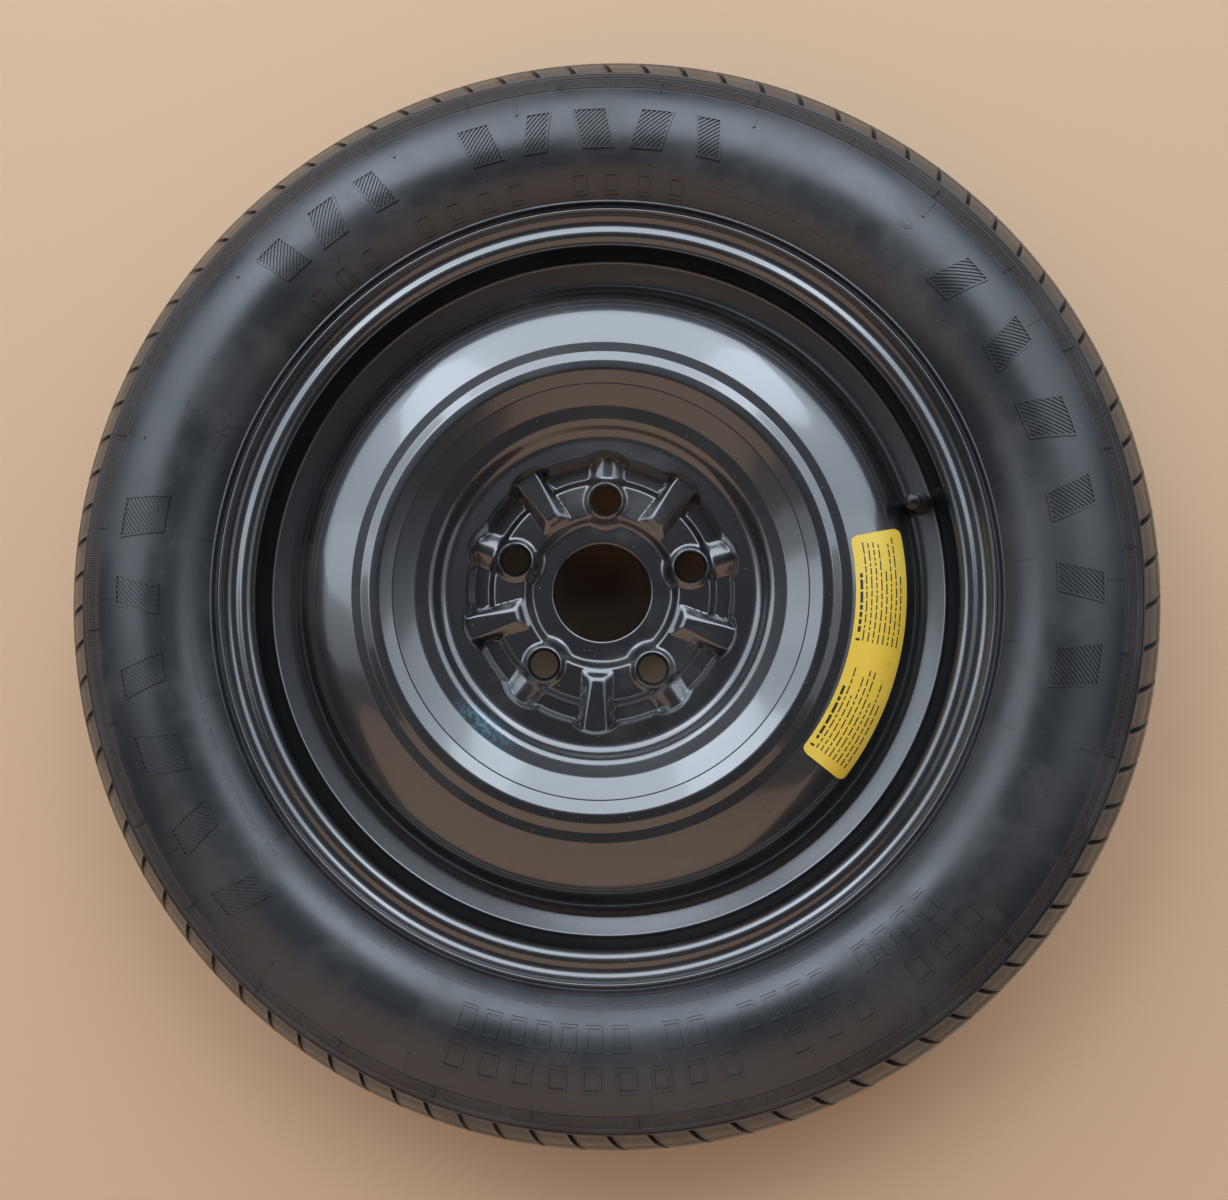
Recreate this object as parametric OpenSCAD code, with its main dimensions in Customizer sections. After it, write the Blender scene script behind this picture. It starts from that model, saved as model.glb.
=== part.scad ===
// Compact temporary-use spare wheel: narrow tubeless tyre on a welded steel wheel.
// The wheel lies on its inboard sidewall with its axis along +Z and its outboard face up.
// The origin is the centre of the rim, midway between its two flanges.

/* [Tyre] */
// Height of the tyre from bead seat to tread
section_h = 121.7; // [112:0.1:132]
// Width of the tyre across its sidewalls
tyre_w = 155; // [150:1:162]
// Height above the bead seat at which the sidewall is widest
belly_h = 56.7; // [53:0.1:61]
// Thickness of the sidewall
side_t = 8; // [5:0.5:10]
// Thickness of rubber and belts under the tread
tread_t = 13; // [9:0.5:16]
// Depth of the tread grooves
groove_d = 4.5; // [2:0.5:6]
// Width of the tread grooves
groove_w = 6; // [3:0.5:9]
// Distance from the middle groove to each outer one
groove_step = 19; // [14:1:22]
// Number of slots across each shoulder
slots = 88; // [72:1:96]
// Width of a shoulder slot
slot_w = 2.8; // [1.5:0.1:4]
// Lean of the shoulder slots from straight across
slot_lean = 27; // [0:1:35]
// Width of the bead from heel to toe
bead_w = 17; // [14:0.5:19]

/* [Rim] */
// Radius of the bead seat at the flange
seat_r = 218.3; // [217:0.1:219]
// Width between the two flanges
rim_w = 101.6; // [96:0.1:104]
// Slope of the bead seats in degrees
seat_slope = 5; // [3:0.5:7]
// Thickness of the rim sheet
rim_t = 2.5; // [2:0.1:3]
// Depth of the well from the bead seat to its inner side
well_d = 22.8; // [20:0.1:24]
// Slope of the side of the well from square to the axis
well_slope = 20; // [15:1:24]
// Height of the flange above the bead seat where it starts to curl
flange_h = 7.7; // [6:0.1:9]
// Radius of the curl on the tyre's side
curl_r = 9.5; // [8.5:0.1:10.5]

/* [Disc] */
// Thickness of the disc sheet
disc_t = 4; // [3:0.1:4.5]
// Distance from the rim's middle to the face that meets the hub
hub_offset = 31; // [26:0.5:34]
// Radius of the centre bore
bore_r = 30.05; // [27:0.05:33]
// Diameter of the circle of wheel bolts
bolt_circle = 114.3; // [112:0.1:118]
// Number of wheel bolts
bolts = 5; // [5:1:5]
// Radius of a bolt hole
bolt_r = 8.5; // [6.5:0.1:9]
// Rise of the bolt ring over the hub ring
ring_rise = 4.7; // [3:0.1:6]
// Inner radius of the bolt ring's flat
ring_r0 = 47.5; // [46:0.5:50]
// Outer radius of the bolt ring's flat
ring_r1 = 67.5; // [65:0.5:70]
// Radius of the flat top of a bolt boss
boss_r = 11; // [10.5:0.1:13]
// Rise of a bolt boss over the bolt ring
boss_rise = 2.5; // [1.5:0.1:3]
// Rise of the stiffening ribs over the hub ring
rib_rise = 9; // [7.5:0.1:11]
// Radius where the stiffening ribs begin
rib_r = 48; // [45:0.5:52]
// Width of a rib at its foot
rib_w = 21.2; // [18:0.2:23]
// Width of the flat top of a rib
rib_top_w = 9.2; // [6:0.2:12]
// Rise of the bowl's floor over the hub ring
floor_rise = 14.5; // [13:0.1:16]
// Radius of the recess in the bowl's floor round the hub
recess_r = 82; // [81:0.5:84]
// Rise of the bowl's crest over its floor
crest_rise = 17.7; // [16:0.1:20]
// Width of the bowl's flat crest
crest_w = 5.5; // [4:0.5:7]
// Depth to which the disc's flange reaches past the rim's middle
flange_reach = 12; // [8:1:15]
// Number of weld beads between disc and rim
welds = 8; // [4:1:12]
// Leg of a weld bead
weld_leg = 4; // [3:0.5:5]

/* [Label] */
// Width of the label
label_w = 32; // [20:0.5:33]
// Arc that the label covers in degrees
label_arc = 50; // [20:1:60]
// Thickness of the label
label_t = 0.3; // [0.2:0.05:0.5]

/* [Valve] */
// Distance of the valve's axis from the bottom of the well
valve_out = 10.6; // [10:0.1:11]
// Radius of the valve hole in the rim
valve_hole_r = 5.75; // [5.5:0.05:6]
// Length of the valve above the rim
valve_h = 33; // [30:0.5:36]
// Radius of the valve's head inside the tyre
head_r = 7.6; // [7.2:0.1:7.8]
// Thickness of the valve's head
head_h = 5; // [4:0.1:6]
// Radius of the rubber foot on the rim
foot_r = 6.6; // [6.3:0.1:6.8]
// Radius of the brass stem
stem_r = 3.85; // [3.6:0.05:4]
// Length of bare stem above the rubber
stem_bare = 9; // [7:0.5:10]
// Radius of the valve cap
cap_r = 5; // [4.9:0.05:5.4]
// Length of the valve cap
cap_h = 12; // [11:0.5:14]
// Number of grip ridges round the cap
cap_ridges = 16; // [8:1:20]
// Travel of the core's pin
pin_travel = 1.2; // [0.8:0.1:1.5]

/* [Hidden] */
$fn = 180;
fine = 48;
eps = 0.01;
far = 400;

// Clearances between pieces that touch on the real wheel
press_gap = 0.05;
bead_gap = 0.15;
run_gap = 0.08;

// Tyre outline, worked out from the sizes above
tyre_r = seat_r + section_h;
belly_r = seat_r + belly_h;
crown_bow = 280;
upper_bow = 74;
lower_bow = 45;
crown_half = 34;
upper_turn = 36.5;
band_r = [belly_r + 30, belly_r + 38.5, belly_r + 42.5];
band_cut = 0.7;

// Rim outline
well_r = seat_r - well_d;
seat_z = rim_w / 2;
fold_r = [6, 3, 9];
curl_turn = 80;

// Disc outline: levels of the outboard surface
z_hub = hub_offset + disc_t;
z_ring = z_hub + ring_rise;
z_boss = z_ring + boss_rise;
z_rib = z_hub + rib_rise;
z_floor = z_hub + floor_rise;
z_crest = z_floor + crest_rise;
bolt_c = bolt_circle / 2;
pitch = 360 / bolts;
first_bolt = 90;
valve_a = first_bolt - pitch;
label_a = -11;

// Helpers for outlines in the plane of radius and height
function unit(v) = v / norm(v);
function left(v) = [-v[1], v[0]];
function cross2(a, b) = a[0] * b[1] - a[1] * b[0];
function pt(p) = [p[0], p[1]];
function flip(path) = [for (i = [len(path) - 1 : -1 : 0]) path[i]];
function mirrored(path) = [for (p = path) [p[0], -p[1]]];

// Points of an arc about c from angle a0 to a1
function arc(c, r, a0, a1, step = 10) =
    let (n = max(1, ceil(abs(a1 - a0) / step)))
    [for (i = [0 : n]) c + r * [cos(a0 + (a1 - a0) * i / n), sin(a0 + (a1 - a0) * i / n)]];

// Points of a smooth curve from p to q that leaves and arrives along the given pulls
function curve(p, pull_p, q, pull_q, n = 5) =
    [for (i = [1 : n - 1]) let (s = i / n)
        pow(1 - s, 3) * p + 3 * s * pow(1 - s, 2) * (p + pull_p)
        + 3 * s * s * (1 - s) * (q + pull_q) + pow(s, 3) * q];

// A corner [r, z, fillet] turned into the points of its fillet
function fillet(a, b, c, step) =
    let (u = unit(pt(b) - pt(a)), v = unit(pt(c) - pt(b)), side = sign(cross2(u, v)),
        turn = acos(min(1, u * v)), tangent = b[2] * tan(turn / 2),
        from = pt(b) - u * tangent, mid = from + side * b[2] * left(u),
        a0 = atan2(from[1] - mid[1], from[0] - mid[0]))
    b[2] < 0.05 ? [pt(b)] : arc(mid, b[2], a0, a0 + side * turn, step);

function rounded(path, step = 12) = concat([pt(path[0])],
    [for (i = [1 : len(path) - 2]) each fillet(path[i - 1], path[i], path[i + 1], step)],
    [pt(path[len(path) - 1])]);

// The same path moved t to its left, with its fillets kept concentric
function beside(path, t) =
    let (n = len(path) - 1)
    [for (i = [0 : n])
        let (u = unit(pt(path[max(i, 1)]) - pt(path[max(i, 1) - 1])),
            v = unit(pt(path[min(i, n - 1) + 1]) - pt(path[min(i, n - 1)])),
            m = t / (1 + u * v) * (left(u) + left(v)))
        [path[i][0] + m[0], path[i][1] + m[1],
            max(0, path[i][2] - t * sign(cross2(u, v)))]];

// A sheet between the path and the path moved t to its left
function sheet(path, t, step = 12) = concat(rounded(path, step), flip(rounded(beside(path, t), step)));

// Rim: inner side of one half, from the bottom of the well to the edge of the flange
function seat_at(z) = seat_r - (seat_z - z) * tan(seat_slope);
foot_z = seat_z - 23.8;
inner_seat = rim_t / cos(seat_slope);
fold_rz = [seat_at(foot_z) - inner_seat, foot_z];
well_z = foot_z - (fold_rz[0] - well_r) * tan(well_slope);
curl_c = [seat_r + flange_h, seat_z + curl_r];
rim_half = [
    [well_r, well_z, fold_r[0]],
    [fold_rz[0], fold_rz[1], fold_r[1]],
    [seat_at(seat_z + rim_t) - inner_seat, seat_z + rim_t, fold_r[2]],
    [curl_c[0], seat_z + rim_t, 0]
];
curl_in = arc(curl_c, curl_r - rim_t, -90, curl_turn - 90, 10);
curl_out = arc(curl_c, curl_r, curl_turn - 90, -90, 10);
rim_path = concat([[well_r, 0, 0]], rim_half);
rim_tyre_side = rounded(beside(rim_path, -rim_t));
rim_outline = concat(rounded(rim_path), curl_in, curl_out, flip(rim_tyre_side));

module rim() {
    color("#17181a")
    difference() {
        rotate_extrude() polygon(concat(rim_outline, flip(mirrored(rim_outline))));
        on_valve() translate([0, 0, -3 * rim_t]) cylinder(r = valve_hole_r, h = 6 * rim_t, $fn = fine);
    }
}

// Tyre outline
belly_z = tyre_w / 2;
upper_c = [belly_r, belly_z - upper_bow];
lower_c = [belly_r, belly_z - lower_bow];
lip_r = seat_r + flange_h + curl_r + 4;
lower_turn = asin((belly_r - lip_r) / lower_bow);
function crown_at(z, sunk) = [tyre_r - crown_bow + sqrt(pow(crown_bow - sunk, 2) - z * z), z];
crown_end = crown_at(crown_half, 0);
side_top = upper_c + upper_bow * [sin(upper_turn), cos(upper_turn)];
function groove_pts(z) = [
    crown_at(z - groove_w / 2, 0), crown_at(z - groove_w / 2 + 1, groove_d),
    crown_at(z + groove_w / 2 - 1, groove_d), crown_at(z + groove_w / 2, 0)
];
heel_z = seat_z - bead_gap;
heel_r = seat_at(heel_z) + bead_gap;
heel_fillet = curl_c[0] - heel_r;
toe_z = heel_z - bead_w;
outer_half = concat(
    [crown_at(0, groove_d), crown_at(groove_w / 2 - 1, groove_d), crown_at(groove_w / 2, 0)],
    groove_pts(groove_step),
    [crown_end],
    curve(crown_end, 12 * unit([-0.122, 1]), side_top, 11 * [cos(upper_turn), -sin(upper_turn)], 6),
    arc(upper_c, upper_bow, 90 - upper_turn, 90, 6),
    arc(lower_c, lower_bow, 90, 90 + lower_turn, 8),
    [[lip_r - 1.8, lower_c[1] + lower_bow * cos(lower_turn) - 2.6]],
    flip(arc(curl_c, curl_r + bead_gap, -90, -22, 12)),
    arc([curl_c[0], heel_z - heel_fillet], heel_fillet, 105, 180, 15),
    [[seat_at(toe_z) + bead_gap, toe_z]]
);
inner_half = concat(
    [crown_at(0, tread_t), crown_at(15, tread_t), crown_at(30, tread_t)],
    curve(crown_at(30, tread_t), [0, 12], upper_c + (upper_bow - side_t) * [sin(27), cos(27)],
        [9, -6], 5),
    arc(upper_c, upper_bow - side_t, 63, 90, 9),
    arc(lower_c, lower_bow - side_t, 90, 150, 12),
    [[curl_c[0], toe_z + 5]],
    [[seat_at(toe_z) + 2, toe_z - 1]]
);

// Start of each shoulder slot, spaced a little unevenly to break up the tread's hum
function slot_at(i) = 360 / slots * i + 0.9 * sin(5 * 360 / slots * i);

module slot() {
    rotate([90, 0, 0]) linear_extrude(slot_w, center = true)
        polygon([
            [side_top[0] - 1, side_top[1] + 1.2], [crown_end[0] - groove_d + 2, crown_half + 10],
            [crown_end[0] - groove_d + 1.5, groove_step + groove_w / 2 + 3],
            [tyre_r + 6, groove_step + groove_w / 2 + 3], [tyre_r + 6, belly_z],
            [side_top[0] - 1, belly_z]
        ]);
}

module slot_ring() {
    for (i = [0 : slots - 1])
        rotate(slot_at(i)) translate([0, 0, side_top[1]]) rotate([slot_lean, 0, 0])
            translate([0, 0, -side_top[1]]) slot();
}

module tyre() {
    color("#2b2e31")
    difference() {
        rotate_extrude()
            polygon(concat(outer_half, flip(inner_half), mirrored(inner_half), flip(mirrored(outer_half))));
        slot_ring();
        rotate([180, 0, 0]) slot_ring();
        for (side = [0, 180], r = band_r)
            rotate([side, 0, 0])
                translate([0, 0, upper_c[1] + sqrt(pow(upper_bow, 2) - pow(r - belly_r, 2)) - band_cut])
                    difference() {
                        cylinder(r = r + 0.6, h = 4);
                        translate([0, 0, -1]) cylinder(r = r - 0.6, h = 6);
                    }
    }
}

// Disc: outboard surface of the bowl, from the axis out to the end of its flange
flange_r = well_r - press_gap;
step_rise = 7;
shelf_rise = 9;
ledge_drop = 1.8;
shoulder_drop = 7.7;
flange_drop = 32;

// Radius in the bowl, from 0 at the recess round the hub to 1 at the flange
function in_bowl(share) = recess_r + share * (flange_r - recess_r);
crest_r = in_bowl(0.476);
bowl_path = [
    [0, z_floor, 0],
    [in_bowl(0.128), z_floor, 3], [in_bowl(0.185), z_floor + step_rise, 4],
    [in_bowl(0.269), z_floor + shelf_rise, 8],
    [crest_r - crest_w / 2, z_crest, 6], [crest_r + crest_w / 2, z_crest, 5],
    [in_bowl(0.546), z_crest - ledge_drop, 3], [in_bowl(0.599), z_crest - ledge_drop, 4],
    [in_bowl(0.846), z_crest - shoulder_drop, 24], [flange_r, z_crest - flange_drop, 16],
    [flange_r, -flange_reach, 0]
];

// Sideways shift of a wall of the given rise and run when its surface sinks by s
function shift(rise, run, s) = s * tan(atan2(rise, run) / 2);

// Outline closed downwards, well below the surface that it stands on
function closed(path, low) = concat([[path[0][0], low]], [for (p = path) pt(p)],
    [[path[len(path) - 1][0], low]]);

// Stiffening rib along +X, with a sloped inner end, steep sides and a bevelled top
module rib(s) {
    low = z_hub - s - 3;
    half = rib_w / 2;
    top = rib_top_w / 2;
    kink = z_ring + 0.4;
    lean = 1.2 / (kink - z_hub);
    across = [[-half - lean, z_hub - 1, 0], [1.2 - half, kink, 0], [-top, z_rib, 0],
        [top, z_rib, 0], [half - 1.2, kink, 0], [half + lean, z_hub - 1, 0]];
    along = [[rib_r, z_ring - 1, 0], [rib_r + 6, z_rib, 0], [recess_r + 8, z_rib, 0]];
    intersection() {
        rotate([90, 0, 90]) linear_extrude(90) polygon(closed(beside(across, -s), low));
        rotate([90, 0, 0]) linear_extrude(2 * rib_w, center = true)
            polygon(closed(beside(along, -s), low));
    }
}

// Bolt boss: a cone that starts a little below the hub ring's level
module boss(s) {
    d = shift(z_boss - z_hub, 6, s);
    low = z_hub - 1.2;
    foot = boss_r + 6 * (z_boss - low) / (z_boss - z_hub);
    translate([bolt_c, 0, low - s]) cylinder(r1 = foot - d, r2 = boss_r - d, h = z_boss - low, $fn = fine);
}

// Flat-bottomed pocket that opens upwards past z1
module pocket(r0, r1, z0, z1, s) {
    d = shift(z1 - z0, r1 - r0, s);
    slope = (r1 - r0) / (z1 - z0);
    translate([0, 0, z0 - s]) cylinder(r1 = r0 + d, r2 = r1 + d + slope, h = z1 - z0 + 1, $fn = fine);
}

// Raised ring that carries the bolt bosses
module ring(s) {
    inner = ring_r0 + shift(ring_rise, 4, s);
    outer = ring_r1 - shift(ring_rise, 3, s);
    foot = 1 + 1 / ring_rise;
    rotate_extrude() polygon(closed([[inner - 4 * foot, z_hub - s - 1], [inner, z_ring - s],
        [outer, z_ring - s], [outer + 3 * foot, z_hub - s - 1]], z_hub - s - 2));
}

// Everything below the disc's outboard surface, or below its back when s is the sheet's thickness
module under_skin(s) {
    difference() {
        rotate_extrude() polygon(concat([[0, -flange_reach - s]], rounded(beside(bowl_path, -s)),
            s > 0 ? [[flange_r - s, -flange_reach - s]] : []));
        pocket(recess_r - 2.5, recess_r, z_hub, z_floor, s);
        for (i = [0 : bolts - 1]) rotate(first_bolt + pitch * i) {
            lobe(bolt_lobe, s);
            rotate(pitch / 2) lobe(rib_lobe, s);
        }
    }
    ring(s);
    for (i = [0 : bolts - 1]) rotate(first_bolt + pitch * i) {
        boss(s);
        bridge(s);
        rotate(pitch / 2) rib(s);
    }
}

// Bay in the edge of the recess round the hub, as [radius, reach from the axis]
bolt_lobe = [20.7, recess_r + 4];
rib_lobe = [19, recess_r + 5];
module lobe(size, s) {
    difference() {
        translate([size[1] - size[0], 0, 0]) pocket(size[0] - 2.4, size[0], z_hub + 0.5, z_floor, s);
        cylinder(r = recess_r - 4, h = far);
    }
}

// Rounded ridge that joins a bolt boss to the bowl's floor
module bridge(s) {
    bow = 13;
    intersection() {
        translate([64, 0, z_ring - 0.5 - bow]) rotate([0, 90, 0]) cylinder(r = bow - s, h = 24, $fn = fine);
        translate([60, -far / 2, z_hub - s - 1.5]) cube([far, far, far]);
    }
}

module disc() {
    color("#141517")
    difference() {
        under_skin(0);
        under_skin(disc_t);
        translate([0, 0, z_hub - 2 * disc_t]) cylinder(r = bore_r, h = far);
        translate([0, 0, z_hub - 1]) cylinder(r1 = bore_r, r2 = bore_r + 1 + eps, h = 1 + eps);
        for (i = [0 : bolts - 1]) rotate(first_bolt + pitch * i) translate([bolt_c, 0, 0]) {
            translate([0, 0, z_hub - 2 * disc_t]) cylinder(r = bolt_r, h = far, $fn = fine);
            translate([0, 0, z_boss - 2]) cylinder(r1 = bolt_r, r2 = bolt_r + 2.4, h = 4, $fn = fine);
        }
    }
}

module weld_beads() {
    color("#303133")
    for (i = [0 : welds - 1]) rotate((i + 0.25) * 360 / welds)
        rotate_extrude(angle = 180 / welds)
            polygon([
                [flange_r, -flange_reach - press_gap],
                [flange_r, -flange_reach - weld_leg],
                [flange_r - weld_leg * 0.4, -flange_reach - weld_leg * 0.8],
                [flange_r - weld_leg * 0.8, -flange_reach - weld_leg * 0.4],
                [flange_r - weld_leg, -flange_reach - press_gap]
            ]);
}

// Label: outline seen along the axis, one half above the middle of its arc
label_r1 = in_bowl(0.899);
label_r0 = label_r1 - label_w;
label_half = label_arc / 2;
corner = 4;
in_lean = asin(corner / (label_r0 + corner));
out_lean = asin(corner / (label_r1 - corner));
function polar(r, a) = r * [cos(a), sin(a)];
label_edge = concat(
    arc([0, 0], label_r1, 0, label_half - out_lean, 3),
    arc(polar(label_r1 - corner, label_half - out_lean), corner,
        label_half - out_lean + 15, label_half + 90, 15),
    arc(polar(label_r0 + corner, label_half - in_lean), corner,
        label_half + 90, label_half - in_lean + 180, 15),
    arc([0, 0], label_r0, label_half - in_lean - 3, 0, 3)
);

module label() {
    color("#f2c21c")
    rotate(label_a) intersection() {
        rotate_extrude() polygon(sheet(beside(bowl_path, press_gap), label_t));
        linear_extrude(far) polygon(concat(label_edge, flip(mirrored(label_edge))));
    }
}

// Valve: everything is placed along its own axis, which stands square on the side of the well
valve_r = well_r + valve_out;
valve_z = well_z + valve_out * tan(well_slope);

module on_valve() {
    rotate(valve_a) translate([valve_r, 0, valve_z]) rotate([0, -well_slope, 0]) children();
}

module stack(outline) {
    on_valve() rotate_extrude($fn = fine) polygon(outline);
}

rubber_top = valve_h - stem_bare;
stem_low = -rim_t - head_h + 2;
seat_w = valve_h - 9;
chamber_r = 2.6;
air_r = 1.5;
plug_h = 5;
plug_w = valve_h - 0.8 - plug_h;
barrel_w = plug_w - 11;
barrel_bore = 1.45;
pin_r = 0.6;
pin_low = barrel_w - 3.4;
bore_low = pin_low - pin_travel - 1.6;

module valve_body() {
    gap = press_gap;
    color("#202224")
    stack([
        [air_r, -rim_t - head_h], [head_r - 1.5, -rim_t - head_h], [head_r, -rim_t - head_h + 1.5],
        [head_r, -rim_t - gap], [valve_hole_r - gap, -rim_t - gap], [valve_hole_r - gap, gap],
        [foot_r, gap], [foot_r, 3.5], [foot_r - 1, 5.5], [foot_r - 1.4, 14],
        [stem_r + 1, rubber_top - 1], [stem_r + 0.6, rubber_top],
        [stem_r, rubber_top], [stem_r, stem_low], [air_r, stem_low]
    ]);
}

module valve_stem() {
    color("#b8964a")
    stack([
        [air_r, stem_low], [stem_r, stem_low], [stem_r, valve_h - 0.6], [stem_r - 0.6, valve_h],
        [chamber_r, valve_h], [chamber_r, seat_w + 1.2], [2.15, seat_w], [2.15, bore_low],
        [air_r, bore_low - 1]
    ]);
}

// Core: a plug screwed into the stem holds a barrel, and a sprung pin closes the barrel's end
collar_w = plug_w - 1.6;
spring_turns = 6;
wire_r = 0.16;

module core_plug() {
    color("#c9a24f")
    difference() {
        stack([
            [pin_r + run_gap, plug_w], [chamber_r - press_gap, plug_w],
            [chamber_r - press_gap, plug_w + plug_h - 2], [1.9, plug_w + plug_h - 1.8],
            [1.9, plug_w + plug_h], [pin_r + run_gap, plug_w + plug_h]
        ]);
        on_valve() for (side = [0, 180]) rotate(side)
            translate([1.2, -3, plug_w + plug_h - 1.8]) cube([3, 6, 3]);
    }
}

module core_barrel() {
    color("#c9a24f")
    stack([
        [pin_r + run_gap, barrel_w], [1.6, barrel_w], [1.75, barrel_w + 1], [1.75, plug_w],
        [barrel_bore, plug_w], [barrel_bore, barrel_w + 1.5], [pin_r + run_gap, barrel_w + 1.5]
    ]);
}

module core_gasket() {
    color("#d8d8d2")
    stack([
        [1.75 + eps, seat_w - 0.6], [2.1, seat_w - 0.2], [chamber_r - 0.1, seat_w + 1.4],
        [chamber_r - 0.1, seat_w + 2.6], [1.75 + eps, seat_w + 2.6]
    ]);
}

module core_pin() {
    color("#c9a24f")
    stack([
        [0, pin_low], [pin_r, pin_low], [pin_r, collar_w], [1.25, collar_w],
        [1.25, collar_w + 0.8], [pin_r, collar_w + 1], [pin_r, plug_w + plug_h + 0.4],
        [0, plug_w + plug_h + 0.6]
    ]);
}

module core_cup() {
    color("#3a2a24")
    stack([
        [pin_r, barrel_w - 3.2], [1, barrel_w - 3.2], [1.55, barrel_w - 2.2], [1.55, barrel_w - run_gap],
        [pin_r + 0.25, barrel_w - run_gap], [pin_r, barrel_w - 0.8]
    ]);
}

// Spring wire as a helix between the barrel's ledge and the pin's collar
spring_w0 = barrel_w + 1.5 + wire_r + 0.02;
spring_w1 = collar_w - wire_r - 0.02;
module core_spring() {
    coil_r = (pin_r + barrel_bore) / 2;
    steps = 12;
    sides = 6;
    rings = spring_turns * steps;
    rise = (spring_w1 - spring_w0) / rings;
    points = [for (k = [0 : rings]) let (a = 360 * k / steps, w = spring_w0 + rise * k)
        for (j = [0 : sides - 1]) let (r = coil_r + wire_r * cos(360 * j / sides))
            [r * cos(a), r * sin(a), w + wire_r * sin(360 * j / sides)]];
    skin = [for (k = [0 : rings - 1], j = [0 : sides - 1]) let (a = k * sides, n = (j + 1) % sides)
        [a + j, a + sides + j, a + sides + n, a + n]];
    ends = [[for (j = [0 : sides - 1]) j], [for (j = [sides - 1 : -1 : 0]) rings * sides + j]];
    color("#b9bcc0") on_valve() polyhedron(points, concat(skin, ends));
}

// Cap: a seal rests on the stem's end, and the cap turns down on the stem's thread
seal_h = 1;
cap_top = valve_h + seal_h + 2.6;

module cap_seal() {
    color("#1b1b1b")
    stack([
        [0, valve_h + 0.02], [stem_r - 0.15, valve_h + 0.02],
        [stem_r - 0.15, valve_h + seal_h], [0, valve_h + seal_h]
    ]);
}

module valve_cap() {
    low = cap_top - cap_h;
    color("#121314")
    difference() {
        stack([
            [stem_r + run_gap, low], [cap_r, low], [cap_r, cap_top - 2.6], [cap_r - 0.7, cap_top - 1.2],
            [1.6, cap_top], [0, cap_top], [0, valve_h + seal_h + 0.02],
            [stem_r + run_gap, valve_h + seal_h + 0.02]
        ]);
        on_valve() for (i = [0 : cap_ridges - 1]) rotate((i + 0.5) * 360 / cap_ridges)
            translate([cap_r + 0.35, 0, low - 1]) cylinder(r = 0.65, h = cap_h - 2, $fn = 24);
    }
}

tyre();
rim();
disc();
weld_beads();
label();
valve_body();
valve_stem();
core_plug();
core_barrel();
core_gasket();
core_spring();
core_pin();
core_cup();
cap_seal();
valve_cap();
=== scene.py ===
import math
import random

import bmesh
import bpy
from mathutils import Matrix, Vector


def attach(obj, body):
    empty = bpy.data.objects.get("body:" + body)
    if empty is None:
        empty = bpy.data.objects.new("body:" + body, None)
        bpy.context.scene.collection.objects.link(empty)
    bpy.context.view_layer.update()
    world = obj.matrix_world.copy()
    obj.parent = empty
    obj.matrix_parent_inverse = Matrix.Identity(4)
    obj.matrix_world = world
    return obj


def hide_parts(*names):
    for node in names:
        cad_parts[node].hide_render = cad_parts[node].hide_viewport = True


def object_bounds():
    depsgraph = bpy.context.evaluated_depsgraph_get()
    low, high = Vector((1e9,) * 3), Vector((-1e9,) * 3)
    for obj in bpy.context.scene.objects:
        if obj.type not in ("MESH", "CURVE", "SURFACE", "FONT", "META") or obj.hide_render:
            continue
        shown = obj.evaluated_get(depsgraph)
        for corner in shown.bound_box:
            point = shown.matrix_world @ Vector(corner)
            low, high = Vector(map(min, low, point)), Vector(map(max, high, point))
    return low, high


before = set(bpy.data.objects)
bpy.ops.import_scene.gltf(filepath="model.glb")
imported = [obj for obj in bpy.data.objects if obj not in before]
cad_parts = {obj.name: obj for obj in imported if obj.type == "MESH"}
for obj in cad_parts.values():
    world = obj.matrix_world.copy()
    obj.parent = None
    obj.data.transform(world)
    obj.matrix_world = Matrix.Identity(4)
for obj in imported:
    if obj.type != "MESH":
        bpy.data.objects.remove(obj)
cad_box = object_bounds()

# Camera: it looks down on the outboard face from about 66 cm, a little from the right and from
# below the middle of the picture. The wheel is turned a little from the photograph's frame.
PHOTO_TURN = 2.44
tilt = Matrix.Rotation(0.0593, 3, "X") @ Matrix.Rotation(-0.0621, 3, "Y")
right, down, back = (Vector((row[0], -row[1], row[2])) for row in tilt)
eye = bpy.data.objects.new("camera", bpy.data.cameras.new("camera"))
bpy.context.scene.collection.objects.link(eye)
eye.data.lens = 33.11
eye.data.sensor_width = 36
eye.data.clip_start = 0.01
placed = Matrix((right, -down, back)).transposed().to_4x4()
placed.translation = (0.05107, -0.04639, 0.7359)
eye.matrix_world = Matrix.Rotation(math.radians(PHOTO_TURN), 4, "Z") @ placed
bpy.context.scene.camera = eye

# Floor and light: a plain pale floor under the wheel, a wide window of soft light beyond its top
# edge with dimmer ends to each side, a large weak warm card on the near side, and dim air all round.
def new_finish(name):
    material = bpy.data.materials.new(name)
    material.use_nodes = True
    return material, material.node_tree, material.node_tree.nodes["Principled BSDF"]


def soft_box(name, polar, heading, far, wide, tall, glow, colour):
    lamp = bpy.data.lights.new(name, "AREA")
    lamp.shape = "RECTANGLE"
    lamp.size, lamp.size_y = wide, tall
    lamp.energy = glow * math.pi * wide * tall
    lamp.color = colour
    box = bpy.data.objects.new(name, lamp)
    bpy.context.scene.collection.objects.link(box)
    p, h = math.radians(polar), math.radians(heading)
    box.location = Vector((math.sin(p) * math.cos(h), math.sin(p) * math.sin(h), math.cos(p))) * far
    box.rotation_euler = box.location.to_track_quat("Z", "Y").to_euler()


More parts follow.
